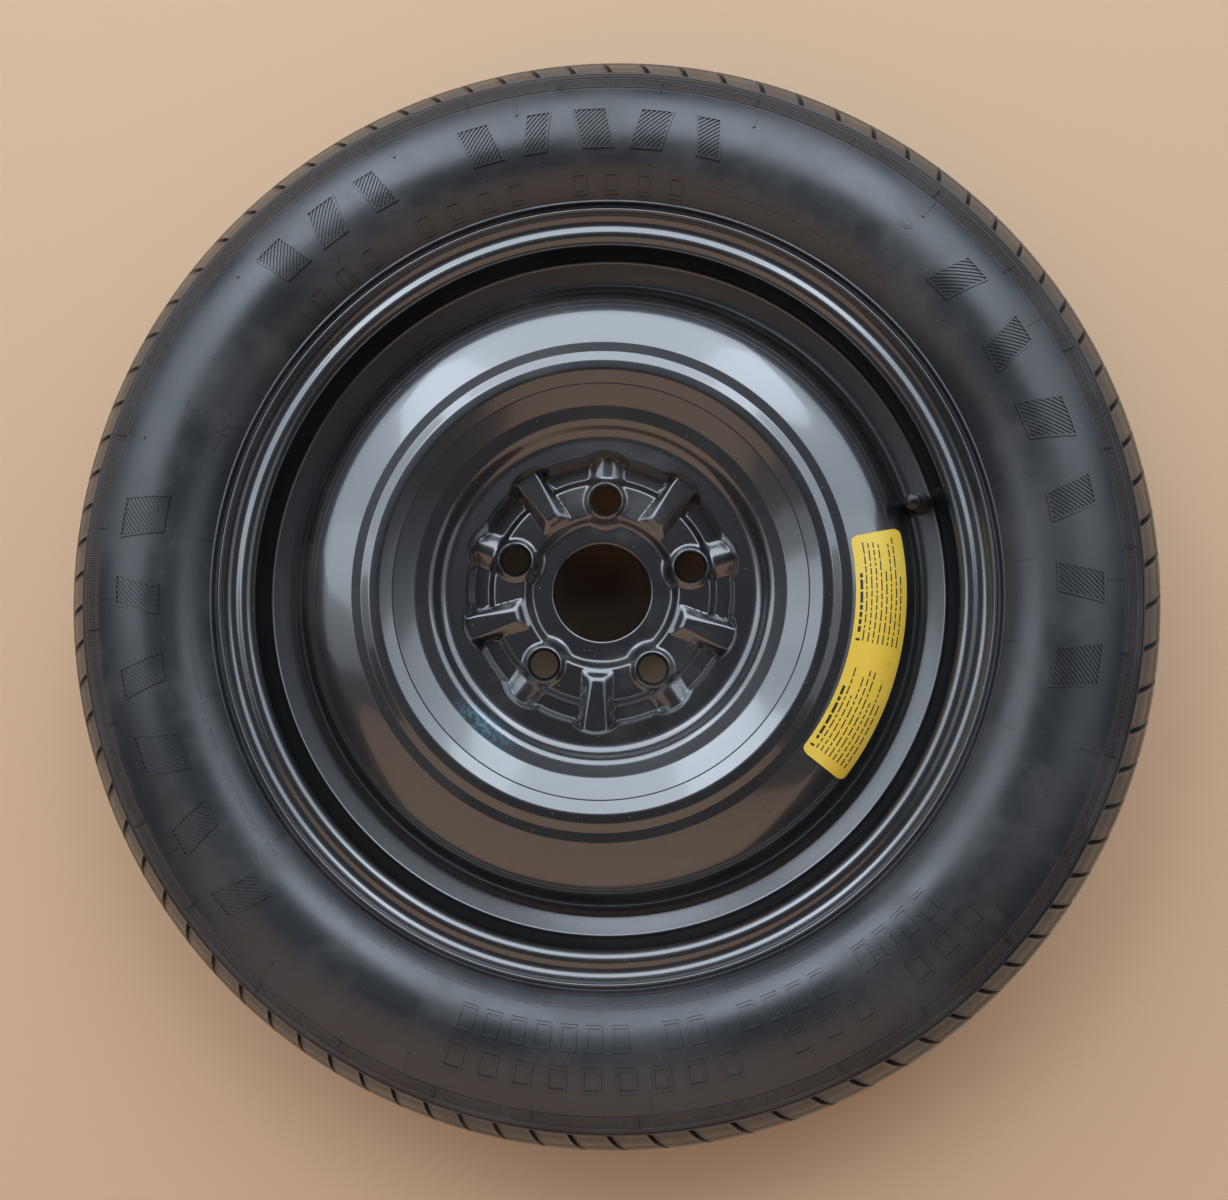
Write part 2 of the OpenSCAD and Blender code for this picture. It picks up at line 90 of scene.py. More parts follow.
floor_level = cad_box[0].z
floor_mesh = bmesh.new()
bmesh.ops.create_grid(floor_mesh, x_segments=1, y_segments=1, size=6)
bmesh.ops.translate(floor_mesh, verts=floor_mesh.verts, vec=(0, 0, floor_level))
floor = bpy.data.objects.new("floor", bpy.data.meshes.new("floor"))
floor_mesh.to_mesh(floor.data)
floor_mesh.free()
bpy.context.scene.collection.objects.link(floor)
pale, pale_tree, pale_bsdf = new_finish("floor_card")
pale_bsdf.inputs["Base Color"].default_value = (0.76, 0.51, 0.32, 1)
pale_bsdf.inputs["Roughness"].default_value = 0.8
floor.data.materials.append(pale)

soft_box("window", 45, 98, 3.4, 3.8, 2.2, 3.3, (0.78, 0.88, 1.0))
soft_box("window_left", 45, 151, 3.4, 2.3, 2.2, 1.9, (0.78, 0.88, 1.0))
soft_box("window_right", 45, 45, 3.4, 2.3, 2.2, 1.8, (0.78, 0.88, 1.0))
soft_box("left_card", 42, 178, 3.4, 1.2, 1.7, 0.6, (0.84, 0.92, 1.0))
soft_box("right_card", 42, 0, 3.4, 1.9, 1.7, 0.6, (0.84, 0.92, 1.0))
soft_box("warm_card", 50, 262, 3.4, 5.4, 3.6, 0.6, (1.0, 0.68, 0.48))
air = bpy.data.worlds.new("air")
bpy.context.scene.world = air
air.use_nodes = True
air.node_tree.nodes["Background"].inputs["Color"].default_value = (0.05, 0.052, 0.062, 1)
bpy.context.scene.view_settings.view_transform = "Standard"


# Tyre casing: the moulded rubber from bead to bead, with its sidewalls. Two steps at radius 305 and
# 313.5 edge a ribbed band, and a thin line at 317.5 is where the mould for the tread begins.
def arc(centre, radius, start, end, step=5.0):
    n = max(1, math.ceil(abs(end - start) / step))
    turns = [math.radians(start + (end - start) * i / n) for i in range(n + 1)]
    return [(centre[0] + radius * math.cos(t), centre[1] + radius * math.sin(t)) for t in turns]


def mirrored(outline):
    return [(r, -z) for r, z in reversed(outline)]


def turn_copies(bm, times):
    first = bm.verts[:] + bm.edges[:] + bm.faces[:]
    for k in range(1, times):
        copied = bmesh.ops.duplicate(bm, geom=first)["geom"]
        bmesh.ops.rotate(bm, cent=(0, 0, 0), matrix=Matrix.Rotation(math.tau * k / times, 3, "Z"),
                         verts=[g for g in copied if isinstance(g, bmesh.types.BMVert)])


def lathe(bm, outline, steps, closed=True):
    slice_of = bmesh.new()
    ends = [slice_of.verts.new((r, 0, z)) for r, z in outline]
    pairs = list(zip(ends, ends[1:] + ends[:1])) if closed else list(zip(ends, ends[1:]))
    edges = [slice_of.edges.new(pair) for pair in pairs]
    bmesh.ops.spin(slice_of, geom=ends + edges, cent=(0, 0, 0), axis=(0, 0, 1), dvec=(0, 0, 0),
                   angle=math.tau / 8, steps=steps // 8, use_merge=False, use_normal_flip=False,
                   use_duplicate=False)
    turn_copies(slice_of, 8)
    bmesh.ops.remove_doubles(slice_of, verts=slice_of.verts, dist=0.002)
    bmesh.ops.recalc_face_normals(slice_of, faces=slice_of.faces)
    turned = bpy.data.meshes.new("turned")
    slice_of.to_mesh(turned)
    slice_of.free()
    bm.from_mesh(turned)
    bpy.data.meshes.remove(turned)


def made(bm, name, finish, body="wheel", stands_for=(), crease=35):
    bmesh.ops.scale(bm, vec=(0.001, 0.001, 0.001), verts=bm.verts)
    for edge in bm.edges:
        edge.smooth = edge.calc_face_angle(0) < math.radians(crease)
    for face in bm.faces:
        face.smooth = True
    mesh = bpy.data.meshes.new(name)
    bm.to_mesh(mesh)
    bm.free()
    piece = bpy.data.objects.new(name, mesh)
    bpy.context.scene.collection.objects.link(piece)
    mesh.materials.append(finish)
    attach(piece, body)
    if stands_for:
        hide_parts(*stands_for)
    return piece


def sidewall(r):
    if r > 275:
        return 3.5 + math.sqrt(74 ** 2 - (r - 275) ** 2)
    return 32.5 + math.sqrt(45 ** 2 - (275 - r) ** 2)


def groove_at(r, half, deep):
    return [(r + half, sidewall(r + half)), (r + 0.4 * half, sidewall(r) - deep),
            (r - 0.4 * half, sidewall(r) - deep), (r - half, sidewall(r - half))]


curl = (226.0, 60.3)
upper_side = (
    [(317.2, sidewall(317.2) - 0.9), (316.9, sidewall(316.9))]
    + [(316 - 0.5 * i, sidewall(316 - 0.5 * i)) for i in range(4)]
    + groove_at(313.4, 0.7, 0.8)
    + [(r, sidewall(r) - 0.25) for r in (312.4, 311, 309.5, 308, 306.5)]
    + groove_at(305.1, 0.7, 0.8)
    + [(r, sidewall(r)) for r in (303.8, 302, 299, 296, 293, 290, 287, 284, 281, 278, 275, 272,
                                  269, 266, 263, 260, 257, 254, 251, 248, 245.5, 243, 241)]
    + [(239.9, sidewall(239.9)), (239.6, 61.0), (238.6, 61.1), (237.9, 59.6), (237.6, 57.6)]
    + arc(curl, 9.65, -22, -90, 10)
    + arc((226.0, 43.08), 7.57, 105, 180, 15)
    + [(217.1, 33.65)]
)
lining = [(219, 32.6), (226, 38.6), (236, 48.0)] + arc((275, 32.5), 37, 150, 90, 10)[1:] + arc(
    (275, 3.5), 66, 90, 63, 9)[1:] + [(322, 45), (325.5, 30), (326.8, 15)]


def put(tree, kind, links=(), **settings):
    node = tree.nodes.new("ShaderNode" + kind)
    for key, value in settings.items():
        setattr(node, key, value)
    for key, value in dict(links).items():
        if isinstance(value, bpy.types.NodeSocket):
            tree.links.new(value, node.inputs[key])
        else:
            node.inputs[key].default_value = value
    return node


def effect(name, inputs, output, kind="NodeSocketFloat"):
    tree = bpy.data.node_groups.new(name, "ShaderNodeTree")
    for label, value in inputs.items():
        socket = tree.interface.new_socket(name=label, in_out="INPUT", socket_type="NodeSocketFloat")
        socket.default_value = value
    tree.interface.new_socket(name=output, in_out="OUTPUT", socket_type=kind)
    return tree, tree.nodes.new("NodeGroupInput").outputs, tree.nodes.new("NodeGroupOutput").inputs


def placed_effect(tree, group, **values):
    node = tree.nodes.new("ShaderNodeGroup")
    node.node_tree = group
    for label, value in values.items():
        node.inputs[label].default_value = value
    return node.outputs[0]


def blend_colour(tree, share, first, second):
    node = put(tree, "Mix", data_type="RGBA")
    for socket, value in ((node.inputs[0], share), (node.inputs[6], first), (node.inputs[7], second)):
        if isinstance(value, bpy.types.NodeSocket):
            tree.links.new(value, socket)
        else:
            socket.default_value = value
    return node.outputs[2]


def sums(tree, operation, a, b=0.0, c=0.0):
    node = put(tree, "Math", {0: a, 1: b, 2: c}, operation=operation)
    return node.outputs[0]


def graded(tree, value, low, high, to_low, to_high):
    node = put(tree, "MapRange", {"Value": value, "From Min": low, "From Max": high,
                                  "To Min": to_low, "To Max": to_high})
    return node.outputs["Result"]


cloudy, given, gives = effect("cloudy", {"Scale": 8.0, "Detail": 4.0, "Low": 0.4, "High": 0.6}, "Cover")
where = cloudy.nodes.new("ShaderNodeTexCoord").outputs["Object"]
cloud = put(cloudy, "TexNoise", {"Vector": where, "Scale": given["Scale"], "Detail": given["Detail"],
                                 "Roughness": 0.6})
cover = put(cloudy, "MapRange", {"Value": cloud.outputs[0], "From Min": given["Low"],
                                 "From Max": given["High"]}, interpolation_type="SMOOTHSTEP")
cloudy.links.new(cover.outputs["Result"], gives["Cover"])

dust, given, gives = effect("dust_specks", {"Scale": 300.0, "Size": 0.2, "Share": 0.1}, "Speck")
where = dust.nodes.new("ShaderNodeTexCoord").outputs["Object"]
cells = put(dust, "TexVoronoi", {"Vector": where, "Scale": given["Scale"], "Randomness": 1.0})
inside = sums(dust, "LESS_THAN", cells.outputs["Distance"], given["Size"])
picked = put(dust, "SeparateColor", {"Color": cells.outputs["Color"]})
kept = sums(dust, "LESS_THAN", picked.outputs[0], given["Share"])
dust.links.new(sums(dust, "MULTIPLY", inside, kept), gives["Speck"])

rings, given, gives = effect("distance_from_axis", {}, "Distance")
where = put(rings, "VectorMath", {0: rings.nodes.new("ShaderNodeTexCoord").outputs["Object"],
                                  1: (1, 1, 0)}, operation="MULTIPLY")
far = put(rings, "VectorMath", {0: where.outputs[0]}, operation="LENGTH")
rings.links.new(far.outputs["Value"], gives["Distance"])

rubber, rubber_tree, rubber_bsdf = new_finish("tyre_rubber")
spot = put(rubber_tree, "SeparateXYZ", {0: rubber_tree.nodes.new("ShaderNodeTexCoord").outputs["Object"]})
round_angle = sums(rubber_tree, "ARCTAN2", spot.outputs["Y"], spot.outputs["X"])
from_axis = placed_effect(rubber_tree, rings)
comb = sums(rubber_tree, "SINE", sums(rubber_tree, "MULTIPLY", round_angle, 1300.0))
in_band = sums(rubber_tree, "COMPARE", from_axis, 0.3093, 0.0032)
wiped = placed_effect(rubber_tree, cloudy, Scale=13.0, Detail=9.0, Low=0.40, High=0.64)
stain = placed_effect(rubber_tree, cloudy, Scale=26.0, Detail=9.0, Low=0.5, High=0.72)
speck = placed_effect(rubber_tree, dust, Scale=420.0, Size=0.16, Share=0.06)
tint = blend_colour(rubber_tree, wiped, (0.020, 0.023, 0.027, 1), (0.030, 0.033, 0.037, 1))
tint = blend_colour(rubber_tree, sums(rubber_tree, "MULTIPLY", stain, 0.35), tint, (0.055, 0.052, 0.048, 1))
tint = blend_colour(rubber_tree, sums(rubber_tree, "MULTIPLY", speck, 0.5), tint, (0.16, 0.14, 0.12, 1))
rubber_tree.links.new(tint, rubber_bsdf.inputs["Base Color"])
sheen = sums(rubber_tree, "ADD", graded(rubber_tree, wiped, 0, 1, 0.31, 0.47),
             sums(rubber_tree, "MULTIPLY", stain, 0.10))
rubber_tree.links.new(sheen, rubber_bsdf.inputs["Roughness"])
rubber_bsdf.inputs["IOR"].default_value = 1.6
rubber_bsdf.inputs["Coat Weight"].default_value = 0.5
rubber_bsdf.inputs["Coat Roughness"].default_value = 0.3
grain = put(rubber_tree, "TexNoise", {"Scale": 900.0, "Detail": 3.0,
                                      "Vector": rubber_tree.nodes["Texture Coordinate"].outputs["Object"]})
ribbed = put(rubber_tree, "Bump", {"Height": sums(rubber_tree, "MULTIPLY", comb, in_band),
                                   "Distance": 0.00022, "Strength": 0.8})
skin = put(rubber_tree, "Bump", {"Height": grain.outputs[0], "Distance": 0.00012, "Strength": 0.5,
                                 "Normal": ribbed.outputs[0]})
rubber_tree.links.new(skin.outputs[0], rubber_bsdf.inputs["Normal"])
casing = bmesh.new()
lathe(casing, upper_side + lining + [(327, 0)] + mirrored(lining) + mirrored(upper_side)
      + [(320, -58), (330, -40), (333, 0), (330, 40), (320, 58)], 360)
made(casing, "tyre_casing", rubber, stands_for=["tyre"])

# Tread: the ring of rubber that meets the road, with grooves round it, 88 leaning slots across
# each shoulder and a short sipe in each block. One pitch is cut and then copied round.
PITCHES = 88
SLOT_LEAN = math.tan(math.radians(27))


def crown(z, sunk=0.0):
    return 60 + math.sqrt((280 - sunk) ** 2 - z * z)


def shoulder(n):
    start, end = Vector((crown(34), 34)), Vector((275 + 44.02, 3.5 + 59.49))
    pull_a = start + 12 * Vector((-0.122, 1)).normalized()
    pull_b = end + 11 * Vector((math.cos(math.radians(36.5)), -math.sin(math.radians(36.5))))
    made_of = []
    for i in range(1, n):
        s = i / n
        p = (start * (1 - s) ** 3 + pull_a * 3 * s * (1 - s) ** 2
             + pull_b * 3 * s * s * (1 - s) + end * s ** 3)
        made_of.append((p.x, p.y))
    return made_of


tread_half = (
    [(crown(1.8, 4.5), 1.8), (crown(2.6, 0.6), 2.6), (crown(3.1), 3.1), (crown(5), 5),
     (crown(14), 14), (crown(15.9), 15.9), (crown(16.4, 0.6), 16.4), (crown(17.2, 4.5), 17.2),
     (crown(20.8, 4.5), 20.8), (crown(21.6, 0.6), 21.6), (crown(22.1), 22.1), (crown(25), 25),
     (crown(29.5), 29.5), (crown(34), 34)]
    + shoulder(8)
    + [(319.02, 62.99), (318.2, sidewall(318.2)), (317.8, sidewall(317.8) - 0.3),
       (317.6, sidewall(317.6) - 0.9)]
)
tread = bmesh.new()
ring = tread_half + [(321, 57), (329, 42), (332, 20)] + [(333.5, 0)] + [
    (332, -20), (329, -42), (321, -57)] + mirrored(tread_half)
ends = [tread.verts.new((r, 0, z)) for r, z in ring]
spun = [tread.edges.new(pair) for pair in zip(ends, ends[1:] + ends[:1])]
bmesh.ops.spin(tread, geom=ends + spun, cent=(0, 0, 0), axis=(0, 0, 1), dvec=(0, 0, 0),
               angle=math.tau / PITCHES, steps=8, use_merge=False, use_normal_flip=False,
               use_duplicate=False)
bmesh.ops.recalc_face_normals(tread, faces=tread.faces)
outwards = sum(f.normal.x * f.calc_area() for f in tread.faces if f.calc_center_median().x > 334)
if outwards < 0:
    bmesh.ops.reverse_faces(tread, faces=tread.faces)


def column(step, low, high):
    found = []
    for face in tread.faces:
        c = face.calc_center_median()
        share = math.atan2(c.y, c.x) / (math.tau / PITCHES) * 8
        outwards = face.normal.x + face.normal.z * math.copysign(1, c.z)
        if step < share < step + 1 and low < c.z < high and c.x > 318.5 and outwards > 0.2:
            found.append(face)
    return found


def sink(faces, depth_at):
    pushed = bmesh.ops.extrude_face_region(tread, geom=faces)
    for vert in [g for g in pushed["geom"] if isinstance(g, bmesh.types.BMVert)]:
        vert.co -= vert.normal * depth_at(vert.co)
    bmesh.ops.delete(tread, geom=faces, context="FACES")


def slot_depth(co):
    z = abs(co.z)
    return 3.0 if z < 34 else max(0.8, 4.6 - 0.45 * max(0.0, z - 55))


for side in (1, -1):
    tread.normal_update()
    low, high = sorted((side * 25.2, side * 63.2))
    sink(column(0, low, high), slot_depth)
    tread.normal_update()
    low, high = sorted((side * 5.1, side * 13.9))
    sink(column(4, low, high), lambda co: 2.5)
    tread.normal_update()
    low, high = sorted((side * 49.0, side * 62.0))
    pad = [face for step in range(1, 8) for face in column(step, low, high)]
    bmesh.ops.inset_region(tread, faces=pad, thickness=1.3, depth=-0.45, use_even_offset=True,
                           use_boundary=True)
turn_copies(tread, PITCHES)
bmesh.ops.remove_doubles(tread, verts=tread.verts, dist=0.02)
shares = [0, 0.135, 0.25, 0.39, 0.52, 0.56, 0.70, 0.85, 1]
for vert in tread.verts:
    r, z = math.hypot(vert.co.x, vert.co.y), abs(vert.co.z)
    steps = math.atan2(vert.co.y, vert.co.x) % math.tau / (math.tau / PITCHES)
    pitch = math.floor(steps + 1e-4)
    part = max(0.0, steps - pitch) * 8
    low = min(7, int(part + 1e-4))
    share = shares[low] + (part - low) * (shares[low + 1] - shares[low])
    angle = (pitch + share) * math.tau / PITCHES
    lean = SLOT_LEAN * (63 - min(63, max(22, z))) / r
    angle += math.copysign(lean * min(1, z / 22), vert.co.z)
    angle += math.radians(0.9) * math.sin(5 * angle)
    vert.co = Vector((r * math.cos(angle), r * math.sin(angle), vert.co.z))
made(tread, "tyre_tread", rubber, stands_for=["tyre"], crease=40)

# Raised marks: bars and dots moulded on the tyre's upper sidewall, laid out flat and wrapped round
# it. Hatched blocks and open boxes stand where such a tyre carries its words.
marks = bmesh.new()
MARK_R = 280.0


def mark(bm, a, r, u, v, long, wide, lean=0.0, high=0.5, low=-0.6):
    swing = Matrix.Rotation(math.radians(lean), 2)
    for vert in bmesh.ops.create_cube(bm, size=1)["verts"]:
        draft = 0.2 if vert.co.z > 0 else 0.0
        flat = swing @ Vector((vert.co.x * (long - draft), vert.co.y * (wide - draft)))
        vert.co = Vector((math.radians(a) * MARK_R - (u + flat.x) * MARK_R / r, r + v + flat.y,
                          high if vert.co.z > 0 else low))


def dot(bm, a, r, across, high=0.5, low=-0.6):
    bmesh.ops.create_cone(
        bm, cap_ends=True, segments=16, radius1=across / 2, radius2=across / 2 - 0.2, depth=high - low,
        matrix=Matrix.Translation((math.radians(a) * MARK_R, r, (high + low) / 2)))


def wrap(bm, surface):
    long_edges = [e for e in bm.edges if e.calc_length() > 5.5]
    bmesh.ops.subdivide_edges(bm, edges=long_edges, cuts=3, use_grid_fill=True)
    for vert in bm.verts:
        angle, r = vert.co.x / MARK_R, vert.co.y
        vert.co = Vector((r * math.cos(angle), r * math.sin(angle), surface(r) + vert.co.z))
    bmesh.ops.recalc_face_normals(bm, faces=bm.faces)


def hatched(a, r, wide, tall, lean):
    slope = math.tan(math.radians(lean))
    for v in (-tall / 2, tall / 2):
        mark(marks, a, r, v * slope, v, wide + 1.2, 1.3, 0, 0.95)
    for u in (-wide / 2, wide / 2):
        mark(marks, a, r, u, 0, tall / math.cos(math.radians(lean)), 1.3, 90 - lean, 0.95)
    reach, start = (wide + tall) / 2, 0.9
    while start < 2 * reach:
        c = start - reach
        v1 = max(-tall / 2, (-wide / 2 - c) / (1 - slope)) + 0.5
        v2 = min(tall / 2, (wide / 2 - c) / (1 - slope)) - 0.5
        if v2 - v1 > 1.0:
            mid = (v1 + v2) / 2
            mark(marks, a, r, c + mid, mid, (v2 - v1) * 1.414, 1.1, 45, 0.7)
        start += 2.9


def open_box(a, r, wide, tall, line=1.5):
    for v in (-tall / 2, tall / 2):
        mark(marks, a, r, 0, v, wide + line, line, 0, 0.95)
    for u in (-wide / 2, wide / 2):
        mark(marks, a, r, u, 0, tall, line, 90, 0.95)


for i in range(9):
    if i != 5:
        hatched(78.5 + 57.5 * i / 8, 277.5, 19 if i % 3 else 14, 24, 12 if i % 2 else -12)
for first in (353.0, 173.0):
    for i in range(6):
        hatched(first + 50.0 * i / 5, 278, 17 if i % 3 else 23, 26, 14 if i % 2 else -14)
for i in range(13):
    if i not in (4, 9):
        open_box(81.5 + 54.5 * i / 12, 247, 7.5, 9)
for i in range(17):
    if i not in (9, 13):
        open_box(255.5 + 65.5 * i / 16, 283, 10, 13)
for i in range(20):
    if i not in (7, 10, 15):
        open_box(255.5 + 63.0 * i / 19, 260, 8.5, 12.5)
dice = random.Random(7)
for first, last, r, tall in ((246, 318, 245, 3.2), (49, 62, 250, 3.4), (64, 77, 250, 3.6),
                             (188, 222, 249, 3.4), (152, 162, 250, 3.2), (236, 243, 246, 3.0)):
    a = first
    while a < last:
        step = dice.uniform(2.2, 6.0)
        mark(marks, a + math.degrees(step / 2 / r), r, 0, 0, step - 0.8, tall * 0.45, 0, 0.35)
        a += math.degrees((step + (2.5 if dice.random() < 0.2 else 0.0)) / r)
for k in range(16):
    spot = 22.5 * k
    mark(marks, spot + 6.8, 311.5, 0, 0, 12, 0.9, 90, 0.6)
    mark(marks, spot + 17.7, 306, 0, 0, 8, 0.9, 90, 0.6)
    mark(marks, spot + 17.6, 243, 0, 0, 6, 0.8, 90, 0.5)
for photo_a in (0.8, 31.2, 48.7, 71.2, 99.7, 115.2, 139, 161.4, 181, 211.5, 229, 248, 276, 295,
                321.5, 341.5):
    mark(marks, photo_a + PHOTO_TURN, 298, 0, 0, 11, 0.9, 90, 0.6)
    dot(marks, photo_a + PHOTO_TURN, 291.5, 2.2, 0.7)
for photo_a in (15, 37.7, 83, 105.2, 127.9, 173, 195.5, 218):
    dot(marks, photo_a + PHOTO_TURN, 257, 1.6)
for photo_a in (149, 240.5, 263, 285.6, 308, 330.5):
    dot(marks, photo_a + PHOTO_TURN, 272, 1.6)
for photo_a in (3.7, 26.2, 46.7, 136.9, 157.3, 206.7, 229.2, 341.2):
    mark(marks, photo_a + PHOTO_TURN, 248, 0, 0, 12, 0.8, 90, 0.4)
for photo_a, r in ((155.5, 248), (155.5, 270), (49.5, 282)):
    dot(marks, photo_a + PHOTO_TURN, r, 8.0, 0.35)
    dot(marks, photo_a + PHOTO_TURN, r, 5.5, 0.6)
wrap(marks, sidewall)
made(marks, "tyre_marks", rubber, stands_for=["tyre"], crease=20)

# Rim: steel strip rolled to a ring and welded shut, with a well, two bead seats and a curled
# flange on each side, then dipped in black paint with the disc. The valve's hole is punched.
def rounded(path, step=6.0):
    outline = [path[0][:2]]
    for before, here, after in zip(path, path[1:], path[2:]):
        a, b, c = (Vector(p[:2]) for p in (before, here, after))
        u, v, radius = (b - a).normalized(), (c - b).normalized(), here[2]
        side = 1 if u.x * v.y - u.y * v.x > 0 else -1
        bend = u.angle(v)
        if radius < 0.05 or bend < 0.01:
            outline.append(tuple(b))
            continue
        start = b - u * radius * math.tan(bend / 2)
        centre = start + side * radius * Vector((-u.y, u.x))
        first = math.degrees(math.atan2(start.y - centre.y, start.x - centre.x))
        outline += arc(centre, radius, first, first + side * math.degrees(bend), step)
    return outline + [path[-1][:2]]


def beside(path, t):
    moved = []
    for i, here in enumerate(path):
        b = Vector(here[:2])
        u = (b - Vector(path[i - 1][:2])).normalized() if i else None
        v = (Vector(path[i + 1][:2]) - b).normalized() if i + 1 < len(path) else u
        u = u or v
        m = t / (1 + u.dot(v)) * Vector((-u.y - v.y, u.x + v.x))
        side = 1 if u.x * v.y - u.y * v.x > 0 else -1
        moved.append((b.x + m.x, b.y + m.y, max(0.0, here[2] - t * side) if here[2] else 0))
    return moved


def cut_out(bm, cutter):
    shapes = []
    for shape in (bm, cutter):
        mesh = bpy.data.meshes.new("shape")
        shape.to_mesh(mesh)
        shape.free()
        shapes.append(bpy.data.objects.new("shape", mesh))
        bpy.context.scene.collection.objects.link(shapes[-1])
    punch = shapes[0].modifiers.new("punch", "BOOLEAN")
    punch.object = shapes[1]
    punch.solver = "EXACT"
    bpy.context.view_layer.update()
    done = bmesh.new()
    done.from_object(shapes[0], bpy.context.evaluated_depsgraph_get())
    for shape in shapes:
        bpy.data.objects.remove(shape)
    return done


peel, given, gives = effect("paint_skin", {"Scale": 160.0, "Fine": 700.0}, "Height")
where = peel.nodes.new("ShaderNodeTexCoord").outputs["Object"]
waves = put(peel, "TexNoise", {"Vector": where, "Scale": given["Scale"], "Detail": 2.0})
grit = put(peel, "TexNoise", {"Vector": where, "Scale": given["Fine"], "Detail": 2.0})
peel.links.new(sums(peel, "MULTIPLY_ADD", grit.outputs[0], 0.25, waves.outputs[0]), gives["Height"])

paint, paint_tree, paint_bsdf = new_finish("black_paint")
haze = placed_effect(paint_tree, cloudy, Scale=14.0, Detail=8.0, Low=0.47, High=0.75)
speck = placed_effect(paint_tree, dust, Scale=330.0, Size=0.13, Share=0.10)
grains = placed_effect(paint_tree, dust, Scale=900.0, Size=0.2, Share=0.05)
from_axis = placed_effect(paint_tree, rings)
near_hub = graded(paint_tree, from_axis, 0.060, 0.100, 1.0, 0.25)
on_shoulder = sums(paint_tree, "COMPARE", from_axis, 0.181, 0.012)
soiled = sums(paint_tree, "MULTIPLY", haze, sums(paint_tree, "MULTIPLY_ADD", on_shoulder, 0.6, near_hub))
coat = blend_colour(paint_tree, sums(paint_tree, "MULTIPLY", soiled, 0.6), (0.0075, 0.0078, 0.0085, 1),
                    (0.040, 0.036, 0.034, 1))
coat = blend_colour(paint_tree, sums(paint_tree, "MULTIPLY", speck, 0.8), coat, (0.16, 0.14, 0.12, 1))
coat = blend_colour(paint_tree, sums(paint_tree, "MULTIPLY", grains, 0.7), coat, (0.10, 0.09, 0.08, 1))
smear_place = put(paint_tree, "Mapping", {
    "Vector": paint_tree.nodes.new("ShaderNodeTexCoord").outputs["Object"],
    "Location": (-0.0659, -0.0843, 0.0575), "Rotation": (0, 0, math.radians(232)),
    "Scale": (0.0085, 0.026, 0.02)}, vector_type="TEXTURE")
smear_far = put(paint_tree, "VectorMath", {0: smear_place.outputs[0]}, operation="LENGTH")
streaks = placed_effect(paint_tree, cloudy, Scale=420.0, Detail=6.0, Low=0.35, High=0.65)
smear = sums(paint_tree, "MULTIPLY", graded(paint_tree, smear_far.outputs["Value"], 1.0, 0.2, 0.0, 1.0),
             streaks)
coat = blend_colour(paint_tree, sums(paint_tree, "MULTIPLY", smear, 0.75), coat, (0.09, 0.28, 0.38, 1))
paint_tree.links.new(coat, paint_bsdf.inputs["Base Color"])
gloss = sums(paint_tree, "MULTIPLY_ADD", soiled, 0.18, 0.28)
paint_tree.links.new(sums(paint_tree, "MULTIPLY_ADD", speck, 0.4, gloss), paint_bsdf.inputs["Roughness"])
paint_bsdf.inputs["IOR"].default_value = 1.9
paint_bsdf.inputs["Coat Weight"].default_value = 1.0
paint_bsdf.inputs["Coat IOR"].default_value = 1.7
paint_bsdf.inputs["Coat Roughness"].default_value = 0.09
skin = put(paint_tree, "Bump", {"Height": placed_effect(paint_tree, peel, Scale=130.0, Fine=620.0),
                                "Distance": 0.00005, "Strength": 0.6})
paint_tree.links.new(skin.outputs[0], paint_bsdf.inputs["Normal"])
valve_place = (Matrix.Rotation(math.radians(18), 4, "Z") @ Matrix.Translation((206.1, 0, 24.231))
               @ Matrix.Rotation(math.radians(-20), 4, "Y"))
STRIP, INNER_CURL, LIP = 2.5, 7, -10
rim_path = [(195.5, 0, 0), (195.5, 20.373, 6), (213.708, 27.0, 3), (216.009, 53.3, 9), (226, 53.3, 0)]
face_path = rim_path[:3] + [(216.0, 55.67, 7), (224.24, 53.53, 0)]
half_rim = rounded(face_path) + arc(curl, INNER_CURL, -104.6, LIP, 6)[1:]
lip_centre = arc(curl, INNER_CURL + STRIP / 2, LIP, LIP)[0]
half_rim += arc(lip_centre, STRIP / 2, LIP + 180, LIP, 30)[1:-1]
half_rim += arc(curl, INNER_CURL + STRIP, LIP, -90, 6)
half_rim += rounded(beside(rim_path, -STRIP))[::-1][1:]
rim = bmesh.new()
lathe(rim, half_rim[1:-1] + mirrored(half_rim[1:-1]), 360)
hole = bmesh.new()
bmesh.ops.create_cone(hole, cap_ends=True, segments=48, radius1=5.75, radius2=5.75, depth=16,
                      matrix=valve_place)
rim = cut_out(rim, hole)
made(rim, "wheel_rim", paint, stands_for=["rim"], crease=40)

# Disc: steel plate pressed to a bowl, with a raised ring of five bolt bosses and five ribs round
# the hub's bore. Its flange is pressed into the rim's well and welded there.
FIFTH = math.tau / 5
BORE_R, BORE_ROUND, BOLT_R = 30.05, 1.8, 57.15
HUB_FACE, RING_TOP, BOSS_TOP, RIB_TOP, BOWL_FLOOR = 35, 39.7, 42.2, 44, 49.5


def merge(a, b, k):
    h = max(k - abs(a - b), 0.0) / k
    return max(a, b) + h * h * k / 4


def trim(a, b, k):
    return -merge(-a, -b, k)


def from_nearest(angle, first):
    return (angle - math.radians(first) + FIFTH / 2) % FIFTH - FIFTH / 2


def recess_edge(angle):
    edge = 82.0
    for first, centre, radius in ((90, 65.3, 20.7), (126, 68.0, 19.0)):
        off = from_nearest(angle, first)
        inside = radius ** 2 - (centre * math.sin(off)) ** 2
        if inside > 0:
            edge = merge(edge, centre * math.cos(off) + math.sqrt(inside), 1.5)
    return edge


